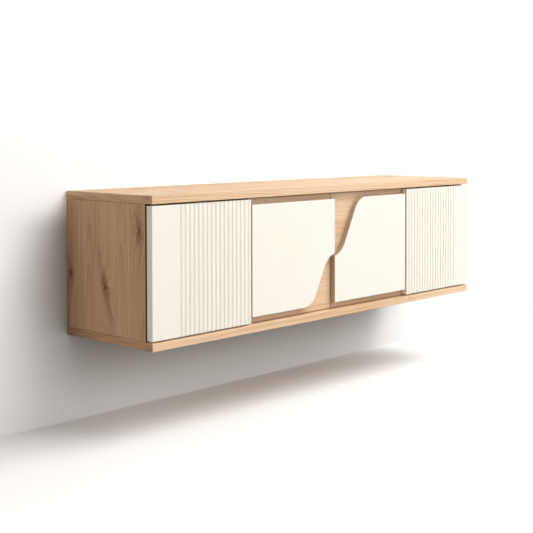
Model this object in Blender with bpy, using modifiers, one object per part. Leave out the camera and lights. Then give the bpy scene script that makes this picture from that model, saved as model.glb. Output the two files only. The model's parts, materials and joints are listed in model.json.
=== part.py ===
"""Wall cabinet with two fluted doors and two middle doors whose front plates meet in an S-shaped cut.

Run with: blender --background --python part.py

The cabinet's own coordinates are X to the right from the middle, Y from the front (negative) to the
wall (zero) and Z up from the underside. Every piece hangs on the cabinet_datum empty, which puts the
middle of the hanging rail's wall face at the world origin.
"""
import math

import bmesh
import bpy
from mathutils import Matrix, Vector

MM = 0.001

# Overall sizes
CABINET_WIDTH = 1200 * MM
CABINET_DEPTH = 300 * MM
CABINET_HEIGHT = 330 * MM
MIDDLE_BAY_WIDTH = 600 * MM

# Boards
BOARD = 18 * MM
BACK_THICKNESS = 5 * MM
BACK_GROOVE_DEPTH = 8 * MM
SHELF_THICKNESS = 16 * MM
SHELF_FRONT_SETBACK = 45 * MM
RAIL_HEIGHT = 70 * MM
BOARD_EDGE = 0.8 * MM
JOINT_GAP = 0.3 * MM

# Fronts
DOOR_THICKNESS = 18 * MM
DOOR_GAP = 4 * MM
DOOR_BACK_GAP = 4 * MM
DOOR_INNER_CLEARANCE = 2 * MM
LEAF_THICKNESS = 18 * MM
LEAF_GAP = 2 * MM
LEAF_SIDE_GAP = 1.5 * MM
LEAF_MEETING_GAP = 2 * MM
PLATE_THICKNESS = 14 * MM
PLATE_SETBACK = 1.5 * MM
PLATE_SIDE_GAP = 3 * MM
PLATE_MARGIN_ABOVE = 16 * MM
PLATE_MARGIN_BELOW = 17.5 * MM

# The S-shaped cut between the two front plates, which meet in the middle of the bay
NECK_BELOW_MIDDLE = {"left": 5 * MM, "right": 12 * MM}
NECK_ANGLE = math.radians(12)
STEEP_ANGLE = math.radians(63)
NECK_RADIUS = 56 * MM
FOOT_RADIUS = 48 * MM

# Flutes of the outer doors, as many as leave a plain strip on the hinge side
PLAIN_STRIP = {"left": 75 * MM, "right": 70 * MM}
FLUTE_PITCH = {"left": 13.0 * MM, "right": 12.65 * MM}
FLUTE_EDGE = 9.6 * MM
FLUTE_WIDTH = 6 * MM
FLUTE_DEPTH = 2.6 * MM

# Hinges: a pin in a cup on the door, and a cranked arm on the carcass
HINGE_INSET = 82 * MM
PIN_FROM_DOOR_EDGE = 8.2 * MM
PIN_FROM_DOOR_FRONT = 10.5 * MM
PIN_FROM_LEAF_EDGE = 10.5 * MM
PIN_FROM_PLATE_FRONT = 9 * MM
PIN_RADIUS = 1.2 * MM
EYE_RADIUS = 2.6 * MM
ARM_WIDTH = 9 * MM
ARM_THICKNESS = 3 * MM
SWING_CLEARANCE = 0.5 * MM
CUP_RADIUS = 17.2 * MM
CUP_WALL = 0.8 * MM
FLANGE_THICKNESS = 1 * MM
FLANGE_LAP = 2 * MM
FLANGE_FLAT = -6 * MM
WING_SHIFT = 0.45
WING_HALF_WIDTH = 0.32
WING_REACH = 1.62
WING_SCREW_REACH = 1.36
MOUNT_THICKNESS = 2.2 * MM
MOUNT_LENGTH = 44 * MM
MOUNT_WIDTH = 14 * MM
MOUNT_WING_REACH = 23 * MM
MOUNT_WING_WIDTH = 12 * MM
MOUNT_SCREW_REACH = 16 * MM
MOUNT_SETBACK = 20 * MM
MOUNT_CLEARANCE = 6 * MM
CHANNEL_WIDTH = 16 * MM
CHANNEL_HEIGHT = 6 * MM

# Holes for screws, and the pockets of the cam locks that draw the boards together
SCREW_HOLE_RADIUS = 1.9 * MM
WALL_SCREW_RADIUS = 3 * MM
WALL_SCREW_ACCESS_RADIUS = 8 * MM
CAM_RADIUS = 7.5 * MM
CAM_DEPTH = 12.5 * MM
CAM_INSET = 34 * MM
CAM_FROM_FRONT = 110 * MM
CAM_FROM_WALL = 60 * MM

# Shelf pins
SHELF_PIN_FROM_FRONT = 80 * MM
SHELF_PIN_FROM_WALL = 55 * MM
SHELF_PIN_RADIUS = 2.5 * MM
SHELF_PIN_BITE = 8 * MM
SHELF_PIN_REACH = 9 * MM
SHELF_PIN_PITCH = 32 * MM
SHELF_END_GAP = 1 * MM

# Cable cut-out in the back panel and screw holes in the rails
CABLE_HOLE_RADIUS = 30 * MM
CABLE_HOLE_HEIGHT = 120 * MM
TOP_INNER_HOLE = 180 * MM
TOP_HOLE_FROM_END = 100 * MM
BOTTOM_HOLE_FROM_END = 250 * MM

# Push latches of the fluted doors
LATCH_ABOVE_SHELF = 32 * MM
LATCH_SIZE = 11 * MM
LATCH_LENGTH = 70 * MM
LATCH_EDGE = 1 * MM
LATCH_CLEARANCE = 2 * MM
LATCH_FOOT_LENGTH = 40 * MM
LATCH_FOOT_WIDTH = 16 * MM
LATCH_FOOT_THICKNESS = 2.4 * MM
LATCH_FOOT_OVERLAP = 1 * MM
LATCH_SCREW_REACH = 14 * MM
PLUNGER_RADIUS = 3.2 * MM
PLUNGER_TIP_RADIUS = 4.6 * MM
PLUNGER_TIP = 2.4 * MM
PLUNGER_TRAVEL = 3 * MM
PLUNGER_LENGTH = 48 * MM
STRIKE_THICKNESS = 1.2 * MM
STRIKE_LENGTH = 34 * MM
STRIKE_WIDTH = 13 * MM
STRIKE_SCREW_REACH = 12 * MM

# Magnetic catch of the middle doors
CATCH_WIDTH = 62 * MM
CATCH_DEPTH = 16 * MM
CATCH_HEIGHT = 14 * MM
CATCH_EDGE = 0.8 * MM
MAGNET_WIDTH = 11 * MM
MAGNET_HEIGHT = 6 * MM
MAGNET_DEPTH = 10 * MM
MAGNET_OFFSET = 15 * MM
MAGNET_PROUD = 0.8 * MM
CATCH_SCREW_REACH = 25 * MM
CATCH_STRIKE_LENGTH = 26 * MM
CATCH_STRIKE_HEIGHT = 8 * MM
CATCH_STRIKE_SCREW = 9.5 * MM
CATCH_STRIKE_SHIFT = 1 * MM

# Levels and planes that follow from the sizes above
FRONT = -CABINET_DEPTH
HALF_WIDTH = CABINET_WIDTH / 2
HALF_BAY = MIDDLE_BAY_WIDTH / 2
INNER_BOTTOM = BOARD
INNER_TOP = CABINET_HEIGHT - BOARD
BOARD_FRONT = FRONT + DOOR_THICKNESS + DOOR_BACK_GAP
RAIL_FRONT = -BOARD
BACK_REAR = RAIL_FRONT - JOINT_GAP
BACK_FRONT = BACK_REAR - BACK_THICKNESS
BAY_REAR = BACK_FRONT - JOINT_GAP
SIDE_INNER = HALF_WIDTH - BOARD
DIVIDER_OUTER = HALF_BAY + BOARD
PLATE_FRONT = FRONT + PLATE_SETBACK
LEAF_FRONT = PLATE_FRONT + PLATE_THICKNESS
LEAF_BACK = LEAF_FRONT + LEAF_THICKNESS
DOOR_BACK = FRONT + DOOR_THICKNESS
HANGING_HEIGHT = INNER_TOP - RAIL_HEIGHT / 2
MIDDLE_HEIGHT = CABINET_HEIGHT / 2
HINGE_HEIGHTS = {"lower": HINGE_INSET, "upper": CABINET_HEIGHT - HINGE_INSET}
SHELF_UNDERSIDE = MIDDLE_HEIGHT - SHELF_THICKNESS / 2
SHELF_TOP = MIDDLE_HEIGHT + SHELF_THICKNESS / 2
LATCH_HEIGHT = SHELF_TOP + LATCH_ABOVE_SHELF
CAM_PLACES = (FRONT + CAM_FROM_FRONT, -CAM_FROM_WALL)
SHELF_PIN_PLACES = (FRONT + SHELF_PIN_FROM_FRONT, -SHELF_PIN_FROM_WALL)
TOP_RAIL_HOLES = (TOP_INNER_HOLE, HALF_WIDTH - TOP_HOLE_FROM_END)
BOTTOM_RAIL_HOLES = (HALF_WIDTH - BOTTOM_HOLE_FROM_END,)
ROUND_STEPS = 24
SMALL_STEPS = 8
OVERSHOOT = 1 * MM
SHARP_ANGLE = math.radians(30)


def clear_scene():
    for obj in list(bpy.data.objects):
        bpy.data.objects.remove(obj, do_unlink=True)
    for collection in list(bpy.data.collections):
        bpy.data.collections.remove(collection)


def new_collection(name):
    collection = bpy.data.collections.new(name)
    bpy.context.scene.collection.children.link(collection)
    return collection


clear_scene()
PARTS = new_collection("wall_cabinet")
CUTTERS = new_collection("wall_cabinet_cutters")


def make_material(name, colour, roughness, metallic=0.0):
    material = bpy.data.materials.new(name)
    material.use_nodes = True
    shader = material.node_tree.nodes["Principled BSDF"]
    shader.inputs["Base Color"].default_value = (*colour, 1.0)
    shader.inputs["Roughness"].default_value = roughness
    shader.inputs["Metallic"].default_value = metallic
    return material


OAK = make_material("oak", (0.78, 0.55, 0.34), 0.55)
CREAM = make_material("cream_lacquer", (0.93, 0.88, 0.78), 0.35)
BACKING = make_material("back_board", (0.80, 0.72, 0.60), 0.6)
NICKEL = make_material("nickel_plated_steel", (0.62, 0.62, 0.60), 0.3, 1.0)
ZINC = make_material("zinc_plated_steel", (0.55, 0.55, 0.54), 0.45, 1.0)
GREY_PLASTIC = make_material("grey_plastic", (0.45, 0.45, 0.44), 0.5)
MAGNET = make_material("magnet", (0.10, 0.10, 0.11), 0.5, 0.6)


# Empties: the datum, and one on every door's hinge axis


def add_empty(name, location, parent=None):
    empty = bpy.data.objects.new(name, None)
    empty.empty_display_size = 0.03
    empty.parent = parent
    empty.location = location
    PARTS.objects.link(empty)
    return empty


DATUM = add_empty("cabinet_datum", (0, 0, -HANGING_HEIGHT))


def cabinet_origin(parent):
    """Where a parent empty lies in the cabinet's own coordinates."""
    return Vector((0, 0, 0)) if parent is DATUM else parent.location.copy()


# Meshes, all in the cabinet's own coordinates


def mesh_from_bmesh(name, bm):
    bmesh.ops.recalc_face_normals(bm, faces=bm.faces)
    mesh = bpy.data.meshes.new(name)
    bm.to_mesh(mesh)
    bm.free()
    return mesh


def evaluated_mesh(data, modify=None):
    """The mesh that a curve, or a mesh with a modifier, comes out as."""
    helper = bpy.data.objects.new("helper", data)
    bpy.context.scene.collection.objects.link(helper)
    if modify:
        modify(helper)
    depsgraph = bpy.context.evaluated_depsgraph_get()
    mesh = bpy.data.meshes.new_from_object(helper.evaluated_get(depsgraph))
    bpy.data.objects.remove(helper, do_unlink=True)
    return mesh


def box(x_span, y_span, z_span):
    bm = bmesh.new()
    bmesh.ops.create_cube(bm, size=1.0)
    spans = (x_span, y_span, z_span)
    size = [abs(high - low) for low, high in spans]
    middle = [(low + high) / 2 for low, high in spans]
    bmesh.ops.scale(bm, vec=size, verts=bm.verts)
    bmesh.ops.translate(bm, vec=middle, verts=bm.verts)
    return mesh_from_bmesh("box", bm)


PLANES = {
    "Z": Matrix(((1, 0, 0), (0, 1, 0), (0, 0, 1))),
    "Y": Matrix(((1, 0, 0), (0, 0, 1), (0, 1, 0))),
    "X": Matrix(((0, 0, 1), (1, 0, 0), (0, 1, 0))),
}


def extruded(outlines, axis, span):
    """Flat outlines pushed along an axis: (x, y) along Z, (x, z) along Y or (y, z) along X."""
    curve = bpy.data.curves.new("outline", "CURVE")
    curve.dimensions = "2D"
    curve.fill_mode = "BOTH"
    curve.extrude = abs(span[1] - span[0]) / 2
    for outline in outlines:
        spline = curve.splines.new("POLY")
        spline.points.add(len(outline) - 1)
        for point, place in zip(spline.points, outline):
            point.co = (place[0], place[1], 0, 1)
        spline.use_cyclic_u = True
    mesh = evaluated_mesh(curve)
    bpy.data.curves.remove(curve)
    bm = bmesh.new()
    bm.from_mesh(mesh)
    bpy.data.meshes.remove(mesh)
    bmesh.ops.remove_doubles(bm, verts=bm.verts, dist=0.00001)
    bmesh.ops.dissolve_limit(bm, angle_limit=math.radians(1), verts=bm.verts, edges=bm.edges)
    bmesh.ops.translate(bm, vec=(0, 0, sum(span) / 2), verts=bm.verts)
    bmesh.ops.transform(bm, matrix=PLANES[axis].to_4x4(), verts=bm.verts)
    result = mesh_from_bmesh("extrusion", bm)
    result.shade_smooth()
    result.set_sharp_from_angle(angle=SHARP_ANGLE)
    return result


def turned(profile, base, direction, steps=ROUND_STEPS):
    """A profile of (radius, height) points, top first on its outer side, turned round an axis."""
    bm = bmesh.new()
    verts = [bm.verts.new((radius, 0, height)) for radius, height in profile]
    for start, end in zip(verts, verts[1:]):
        bm.edges.new((start, end))
    profile_mesh = bpy.data.meshes.new("profile")
    bm.to_mesh(profile_mesh)
    bm.free()

    def add_screw(helper):
        screw = helper.modifiers.new("turn", "SCREW")
        screw.axis = "Z"
        screw.steps = steps
        screw.render_steps = steps
        screw.use_merge_vertices = True
        screw.merge_threshold = 0.00001

    mesh = evaluated_mesh(profile_mesh, add_screw)
    bpy.data.meshes.remove(profile_mesh)
    turn = Vector((0, 0, 1)).rotation_difference(Vector(direction)).to_matrix().to_4x4()
    mesh.transform(Matrix.Translation(base) @ turn)
    mesh.shade_smooth()
    mesh.set_sharp_from_angle(angle=SHARP_ANGLE)
    return mesh


def rod(start, direction, radius, length, steps=SMALL_STEPS):
    """A plain round bar that begins at start and runs along direction."""
    return turned(((0, length), (radius, length), (radius, 0), (0, 0)), start, direction, steps)


def drilled(holes, steps=SMALL_STEPS):
    """Cylinders that cut holes: each is (mouth, direction into the board, radius, depth)."""
    bm = bmesh.new()
    for mouth, direction, radius, depth in holes:
        along = Vector(direction)
        turn = Vector((0, 0, 1)).rotation_difference(along).to_matrix().to_4x4()
        middle = Vector(mouth) + along * (depth - OVERSHOOT) / 2
        bmesh.ops.create_cone(
            bm,
            cap_ends=True,
            segments=steps,
            radius1=radius,
            radius2=radius,
            depth=depth + OVERSHOOT,
            matrix=Matrix.Translation(middle) @ turn,
        )
    return mesh_from_bmesh("holes", bm)


def joined(meshes):
    """Several meshes as one, each still a solid of its own."""
    bm = bmesh.new()
    for mesh in meshes:
        bm.from_mesh(mesh)
        bpy.data.meshes.remove(mesh)
    result = bpy.data.meshes.new("group")
    bm.to_mesh(result)
    bm.free()
    return result


def on_side(mesh, side):
    """Pieces are drawn for the left; the right-hand ones are their mirror images."""
    if side == "right":
        mesh.transform(Matrix.Scale(-1, 4, (1, 0, 0)))
        mesh.flip_normals()
    return mesh


# Objects


def add_part(name, mesh, material, parent=None):
    """One sub-part, its origin in the middle of its mesh."""
    parent = parent or DATUM
    low = Vector([min(v.co[axis] for v in mesh.vertices) for axis in range(3)])
    high = Vector([max(v.co[axis] for v in mesh.vertices) for axis in range(3)])
    middle = (low + high) / 2
    mesh.transform(Matrix.Translation(-middle))
    mesh.name = name
    mesh.materials.clear()
    mesh.materials.append(material)
    obj = bpy.data.objects.new(name, mesh)
    obj.parent = parent
    obj.location = middle - cabinet_origin(parent)
    PARTS.objects.link(obj)
    return obj


def add_boolean(obj, mesh, name, operation="DIFFERENCE"):
    """Cut a mesh out of a piece, or fuse it on; the tool stays as a hidden guide."""
    tool = bpy.data.objects.new(obj.name + "_" + name, mesh)
    tool.parent = obj.parent
    tool.location = -cabinet_origin(obj.parent)
    tool.hide_render = True
    tool.display_type = "WIRE"
    CUTTERS.objects.link(tool)
    modifier = obj.modifiers.new(name, "BOOLEAN")
    modifier.object = tool
    modifier.operation = operation
    modifier.solver = "EXACT"
    return obj


def soften_edges(obj, width=BOARD_EDGE, segments=2):
    bevel = obj.modifiers.new("edges", "BEVEL")
    bevel.width = width
    bevel.segments = segments
    bevel.limit_method = "ANGLE"
    bevel.angle_limit = math.radians(40)
    return obj


def add_board(name, spans, material=OAK, parent=None, segments=1):
    return soften_edges(add_part(name, box(*spans), material, parent), segments=segments)


# Joints between boards


def cam_pockets(name):
    """The round pockets of a board's four cam locks, drilled in the face towards its bay."""
    face, inward = (-SIDE_INNER, -1) if "side_panel" in name else (-DIVIDER_OUTER, 1)
    levels = (INNER_TOP - CAM_INSET, INNER_BOTTOM + CAM_INSET)
    return [
        ((face, place, level), (inward, 0, 0), CAM_RADIUS, CAM_DEPTH)
        for place in CAM_PLACES
        for level in levels
    ]


# Carcass


def groove():
    """The slot all round that the back panel sits in."""
    half = SIDE_INNER + BACK_GROOVE_DEPTH + JOINT_GAP
    low = INNER_BOTTOM - BACK_GROOVE_DEPTH - JOINT_GAP
    high = INNER_TOP + BACK_GROOVE_DEPTH + JOINT_GAP
    return box((-half, half), (BAY_REAR, BACK_REAR + JOINT_GAP), (low, high))


def add_cover(name, z_span):
    """The top or bottom panel: full width and depth, with the back panel's groove."""
    x_span = (-HALF_WIDTH, HALF_WIDTH)
    panel = add_board(name, (x_span, (FRONT, 0), z_span), segments=2)
    add_boolean(panel, groove(), "groove")


def shelf_pin_level():
    return SHELF_UNDERSIDE - JOINT_GAP - SHELF_PIN_RADIUS


def shelf_pin_holes(face, inward):
    """Two rows of three holes, so that the shelf can sit at three heights."""
    depth = SHELF_PIN_BITE + JOINT_GAP
    radius = SHELF_PIN_RADIUS + JOINT_GAP
    return [
        ((face, place, shelf_pin_level() + row * SHELF_PIN_PITCH), inward, radius, depth)
        for place in SHELF_PIN_PLACES
        for row in (-1, 0, 1)
    ]


def add_side_panel(side):
    name = side + "_side_panel"
    spans = ((-HALF_WIDTH, -SIDE_INNER), (BOARD_FRONT, 0))
    z_span = (INNER_BOTTOM + JOINT_GAP, INNER_TOP - JOINT_GAP)
    panel = add_part(name, on_side(box(*spans, z_span), side), OAK)
    soften_edges(panel, segments=1)
    add_boolean(panel, groove(), "groove")
    add_boolean(panel, on_side(drilled(cam_pockets(name), 12), side), "cam_pockets")
    pins = shelf_pin_holes(-SIDE_INNER, (-1, 0, 0))
    add_boolean(panel, on_side(drilled(pins), side), "shelf_pin_holes")


def add_divider(side):
    name = side + "_divider"
    spans = ((-DIVIDER_OUTER, -HALF_BAY), (BOARD_FRONT, BAY_REAR))
    z_span = (INNER_BOTTOM + JOINT_GAP, INNER_TOP - JOINT_GAP)
    divider = add_part(name, on_side(box(*spans, z_span), side), OAK)
    soften_edges(divider, segments=1)
    add_boolean(divider, on_side(drilled(cam_pockets(name), 12), side), "cam_pockets")
    pins = shelf_pin_holes(-DIVIDER_OUTER, (1, 0, 0))
    add_boolean(divider, on_side(drilled(pins), side), "shelf_pin_holes")


def add_back_panel():
    half = SIDE_INNER + BACK_GROOVE_DEPTH
    z_span = (INNER_BOTTOM - BACK_GROOVE_DEPTH, INNER_TOP + BACK_GROOVE_DEPTH)
    panel = add_part("back_panel", box((-half, half), (BACK_FRONT, BACK_REAR), z_span), BACKING)
    through = BACK_THICKNESS + OVERSHOOT
    holes = [
        ((x, BACK_FRONT, height), (0, 1, 0), WALL_SCREW_ACCESS_RADIUS, through)
        for x, height in wall_screw_places()
    ]
    cable = [((0, BACK_FRONT, CABLE_HOLE_HEIGHT), (0, 1, 0), CABLE_HOLE_RADIUS, through)]
    add_boolean(panel, drilled(holes, 12), "screw_access_holes")
    add_boolean(panel, drilled(cable, ROUND_STEPS), "cable_hole")


def wall_screw_places():
    low = INNER_BOTTOM + RAIL_HEIGHT / 2
    for offsets, height in ((TOP_RAIL_HOLES, HANGING_HEIGHT), (BOTTOM_RAIL_HOLES, low)):
        for offset in offsets:
            yield -offset, height
            yield offset, height


def add_rail(name, z_span):
    """A rail behind the back panel, flush with the wall, with holes for the wall screws."""
    half = SIDE_INNER - JOINT_GAP
    rail = add_board(name, ((-half, half), (RAIL_FRONT, 0), z_span))
    holes = [
        ((x, RAIL_FRONT, height), (0, 1, 0), WALL_SCREW_RADIUS, BOARD + OVERSHOOT)
        for x, height in wall_screw_places()
        if z_span[0] < height < z_span[1]
    ]
    add_boolean(rail, drilled(holes), "screw_holes")


def add_shelf(side):
    x_span = (-SIDE_INNER + SHELF_END_GAP, -DIVIDER_OUTER - SHELF_END_GAP)
    y_span = (FRONT + SHELF_FRONT_SETBACK, BAY_REAR - SHELF_END_GAP)
    mesh = on_side(box(x_span, y_span, (SHELF_UNDERSIDE, SHELF_TOP)), side)
    soften_edges(add_part(side + "_shelf", mesh, OAK), segments=1)
    length = SHELF_PIN_BITE + SHELF_PIN_REACH
    ends = (("outer", -SIDE_INNER - SHELF_PIN_BITE, 1), ("inner", -DIVIDER_OUTER + SHELF_PIN_BITE, -1))
    for end, x, way in ends:
        for row, place in zip(("front", "rear"), SHELF_PIN_PLACES):
            start = (x, place, shelf_pin_level())
            pin = on_side(rod(start, (way, 0, 0), SHELF_PIN_RADIUS, length), side)
            add_part(f"{side}_shelf_pin_{row}_{end}", pin, NICKEL)


# Hinges


class Hinge:
    """One kind of hinge, as distances from its pin: X towards the bay, Y towards the wall."""

    def __init__(self, pin_x, pin_y, edge_x, back_y, face_x):
        self.pin = Vector((pin_x, pin_y, 0))
        self.edge = pin_x - edge_x
        self.back = back_y - pin_y
        self.face = face_x - pin_x
        near = EYE_RADIUS + 3 * JOINT_GAP
        flange_reach = math.hypot(self.edge, self.back)
        flange_top = self.back + JOINT_GAP + FLANGE_THICKNESS
        self.lip_reach = max(flange_reach, flange_top)
        self.seat = self.face + MOUNT_THICKNESS + 2 * JOINT_GAP
        self.leg = max(self.lip_reach + 2 * SWING_CLEARANCE, self.seat) + ARM_THICKNESS / 2
        self.rear_leg = self.seat + ARM_THICKNESS / 2
        half_arm = ARM_WIDTH / 2
        chord = near + self.leg + ARM_THICKNESS / 2 + 2 * JOINT_GAP
        needed = math.hypot(chord / 2, half_arm) + CUP_WALL
        self.cup_radius = max(CUP_RADIUS, needed)
        self.cup_inner = self.cup_radius - CUP_WALL
        self.cup_x = math.sqrt(self.cup_inner ** 2 - half_arm ** 2) - near
        self.floor = -EYE_RADIUS - JOINT_GAP
        self.bore_floor = self.floor - CUP_WALL - JOINT_GAP
        behind_lip = self.lip_reach + ARM_THICKNESS + MOUNT_CLEARANCE
        self.mount_start = max(behind_lip, BOARD_FRONT + MOUNT_SETBACK - pin_y)

    def at(self, x, y, z):
        return self.pin + Vector((x, y, z))


OUTER_HINGE = Hinge(
    pin_x=-HALF_WIDTH + PIN_FROM_DOOR_EDGE,
    pin_y=FRONT + PIN_FROM_DOOR_FRONT,
    edge_x=-HALF_WIDTH,
    back_y=DOOR_BACK,
    face_x=-SIDE_INNER,
)
MIDDLE_HINGE = Hinge(
    pin_x=-HALF_BAY + LEAF_SIDE_GAP + PIN_FROM_LEAF_EDGE,
    pin_y=PLATE_FRONT + PIN_FROM_PLATE_FRONT,
    edge_x=-HALF_BAY + LEAF_SIDE_GAP,
    back_y=LEAF_BACK,
    face_x=-HALF_BAY,
)


def cup_bore(hinge, height):
    """The round pocket for a hinge cup, drilled from the back of the door."""
    mouth = hinge.at(hinge.cup_x, hinge.back, height)
    depth = hinge.back - hinge.bore_floor
    return (mouth, (0, -1, 0), hinge.cup_radius + JOINT_GAP, depth)


def wing_screw_places(hinge, height):
    """The two screw holes of a cup's flange, on the flange's outer face."""
    x = hinge.cup_x + hinge.cup_radius * WING_SHIFT
    top = hinge.back + JOINT_GAP + FLANGE_THICKNESS
    reach = hinge.cup_radius * WING_SCREW_REACH
    return [hinge.at(x, top, height - reach), hinge.at(x, top, height + reach)]


def flange_outline(hinge, height):
    """A round flange with two screw wings, cut straight on the side that passes the carcass."""
    radius = hinge.cup_radius + FLANGE_LAP
    flat = FLANGE_FLAT - hinge.cup_x
    middle = hinge.cup_radius * WING_SHIFT
    half = hinge.cup_radius * WING_HALF_WIDTH
    reach = hinge.cup_radius * WING_REACH
    corner = half * 0.4
    first = math.acos((middle + half) / radius)
    last = math.acos((middle - half) / radius)
    wing = [
        (middle + half, radius * math.sin(first)),
        (middle + half, reach - corner),
        (middle + half - corner, reach),
        (middle - half + corner, reach),
        (middle - half, reach - corner),
    ]
    points = list(wing)
    steps = ROUND_STEPS // 2
    for index in range(steps + 1):
        angle = last + (2 * math.pi - 2 * last) * index / steps
        points.append((max(radius * math.cos(angle), flat), radius * math.sin(angle)))
    points += [(x, -z) for x, z in reversed(wing)]
    steps = ROUND_STEPS // 4
    for index in range(1, steps):
        angle = first * (2 * index / steps - 1)
        points.append((radius * math.cos(angle), radius * math.sin(angle)))
    centre = hinge.pin.x + hinge.cup_x
    return [(centre + x, height + z) for x, z in points]


def add_cup(name, hinge, height, side, parent):
    """A flanged cup with two screw wings and the pin that the arm's eye turns on."""
    plane = hinge.pin.y + hinge.back
    span = (plane + JOINT_GAP, plane + JOINT_GAP + FLANGE_THICKNESS)
    flange = extruded([flange_outline(hinge, height)], "Y", span)
    cup = add_part(name, on_side(flange, side), NICKEL, parent)
    rim = JOINT_GAP + FLANGE_THICKNESS / 2
    depth = hinge.back - hinge.floor + CUP_WALL
    centre = hinge.at(hinge.cup_x, hinge.back, height)
    profile = ((0, rim), (hinge.cup_radius, rim), (hinge.cup_radius, -depth), (0, -depth))
    add_boolean(cup, on_side(turned(profile, centre, (0, 1, 0)), side), "shell", "UNION")
    hollow_depth = hinge.back - hinge.floor + OVERSHOOT * 2
    mouth = centre + Vector((0, OVERSHOOT * 2, 0))
    hollow = drilled([(mouth, (0, -1, 0), hinge.cup_inner, hollow_depth)], ROUND_STEPS)
    add_boolean(cup, on_side(hollow, side), "hollow")
    far_side = hinge.cup_x + PIN_RADIUS
    half_pin = math.sqrt(hinge.cup_radius ** 2 - far_side ** 2) - CUP_WALL / 4
    pin = rod(hinge.at(0, 0, height - half_pin), (0, 0, 1), PIN_RADIUS, 2 * half_pin)
    add_boolean(cup, on_side(pin, side), "pin", "UNION")
    holes = [
        (point, (0, -1, 0), SCREW_HOLE_RADIUS, FLANGE_THICKNESS + OVERSHOOT)
        for point in wing_screw_places(hinge, height)
    ]
    add_boolean(cup, on_side(drilled(holes), side), "screw_holes")
    return cup


def arm_path(hinge):
    """Centre line of the cranked strap: round the door's lip, then along the carcass board."""
    bar_y = ARM_THICKNESS / 2 - EYE_RADIUS
    end = hinge.mount_start + MOUNT_LENGTH
    path = [(0, bar_y), (hinge.leg, bar_y)]
    if hinge.leg - hinge.rear_leg > ARM_THICKNESS:
        cross = hinge.lip_reach + 2 * SWING_CLEARANCE + ARM_THICKNESS / 2
        path += [(hinge.leg, cross), (hinge.rear_leg, cross)]
    return path + [(hinge.rear_leg, end)]


def band_outline(path, thickness):
    """Both edges of a strap of even thickness, with mitred corners; left edge, then right edge."""
    half = thickness / 2
    points = [Vector(place) for place in path]
    headings = [(b - a).normalized() for a, b in zip(points, points[1:])]
    left, right = [], []
    for index, point in enumerate(points):
        before = headings[max(index - 1, 0)]
        after = headings[min(index, len(headings) - 1)]
        mitre = Vector((-before.y - after.y, before.x + after.x)).normalized()
        reach = half / mitre.dot(Vector((-after.y, after.x)))
        left.append(point + mitre * reach)
        right.append(point - mitre * reach)
    return left, right


def arm_outline(hinge):
    """The strap with its eye, in (x, y) from the pin."""
    left, right = band_outline(arm_path(hinge), ARM_THICKNESS)
    start = math.asin((ARM_THICKNESS - EYE_RADIUS) / EYE_RADIUS)
    end = math.radians(270)
    steps = 10
    eye = []
    for index in range(steps + 1):
        angle = start + (end - start) * index / steps
        eye.append(Vector((math.cos(angle), math.sin(angle))) * EYE_RADIUS)
    return eye + right[1:] + left[:0:-1]


def circle(radius, steps=SMALL_STEPS):
    turn = 2 * math.pi / steps
    return [Vector((math.cos(turn * i), math.sin(turn * i))) * radius for i in range(steps)]


def add_arm(name, hinge, height, side):
    """The cranked arm: a strap with an eye, fused to the channel that sits on the mounting plate."""
    shift = hinge.pin.to_2d()
    outline = [point + shift for point in arm_outline(hinge)]
    hole = [point + shift for point in circle(PIN_RADIUS + JOINT_GAP)]
    span = (height - ARM_WIDTH / 2, height + ARM_WIDTH / 2)
    arm = add_part(name, on_side(extruded([outline, hole], "Z", span), side), NICKEL)
    near = hinge.at(hinge.seat, hinge.mount_start, height - CHANNEL_WIDTH / 2)
    far = hinge.at(
        hinge.seat + CHANNEL_HEIGHT, hinge.mount_start + MOUNT_LENGTH, height + CHANNEL_WIDTH / 2
    )
    channel = box((near.x, far.x), (near.y, far.y), (near.z, far.z))
    add_boolean(arm, on_side(channel, side), "channel", "UNION")
    wall = CHANNEL_HEIGHT / 4
    lower = height - CHANNEL_WIDTH / 2 + wall
    upper = height + CHANNEL_WIDTH / 2 - wall
    trough = box((near.x + wall, far.x + wall), (near.y + wall * 2, far.y + wall), (lower, upper))
    add_boolean(arm, on_side(trough, side), "trough")
    return arm


def add_mount(name, hinge, height, side):
    """The cross-shaped plate that an arm clips on, screwed to the carcass board."""
    start = hinge.pin.y + hinge.mount_start
    end = start + MOUNT_LENGTH
    wing_start = start + (MOUNT_LENGTH - MOUNT_WING_WIDTH) / 2
    wing_end = wing_start + MOUNT_WING_WIDTH
    half = MOUNT_WIDTH / 2
    reach = MOUNT_WING_REACH
    nose = half * 0.8
    tail = half * 0.9
    taper = MOUNT_WING_WIDTH / 8
    lower = [
        (start, -nose),
        (wing_start, -half),
        (wing_start + taper, -reach),
        (wing_end - taper, -reach),
        (wing_end, -half),
        (end, -tail),
    ]
    outline = [(y, height + z) for y, z in lower]
    outline += [(y, height - z) for y, z in reversed(lower)]
    face = hinge.pin.x + hinge.face + JOINT_GAP
    mesh = extruded([outline], "X", (face, face + MOUNT_THICKNESS))
    mount = add_part(name, on_side(mesh, side), ZINC)
    y = hinge.mount_start + MOUNT_LENGTH / 2
    top = hinge.face + JOINT_GAP + MOUNT_THICKNESS
    holes = [
        (hinge.at(top, y, height + way), (-1, 0, 0), SCREW_HOLE_RADIUS, MOUNT_THICKNESS + OVERSHOOT)
        for way in (-MOUNT_SCREW_REACH, MOUNT_SCREW_REACH)
    ]
    add_boolean(mount, on_side(drilled(holes), side), "screw_holes")


def add_door_hinges(door, hinge, side, axis):
    """Cups on the door, and arms with their mounting plates on the carcass."""
    for place, height in HINGE_HEIGHTS.items():
        prefix = f"{door}_{place}_hinge"
        add_cup(prefix + "_cup", hinge, height, side, axis)
        add_arm(prefix + "_arm", hinge, height, side)
        add_mount(prefix + "_mount", hinge, height, side)


# Push latches and strike plates


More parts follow.
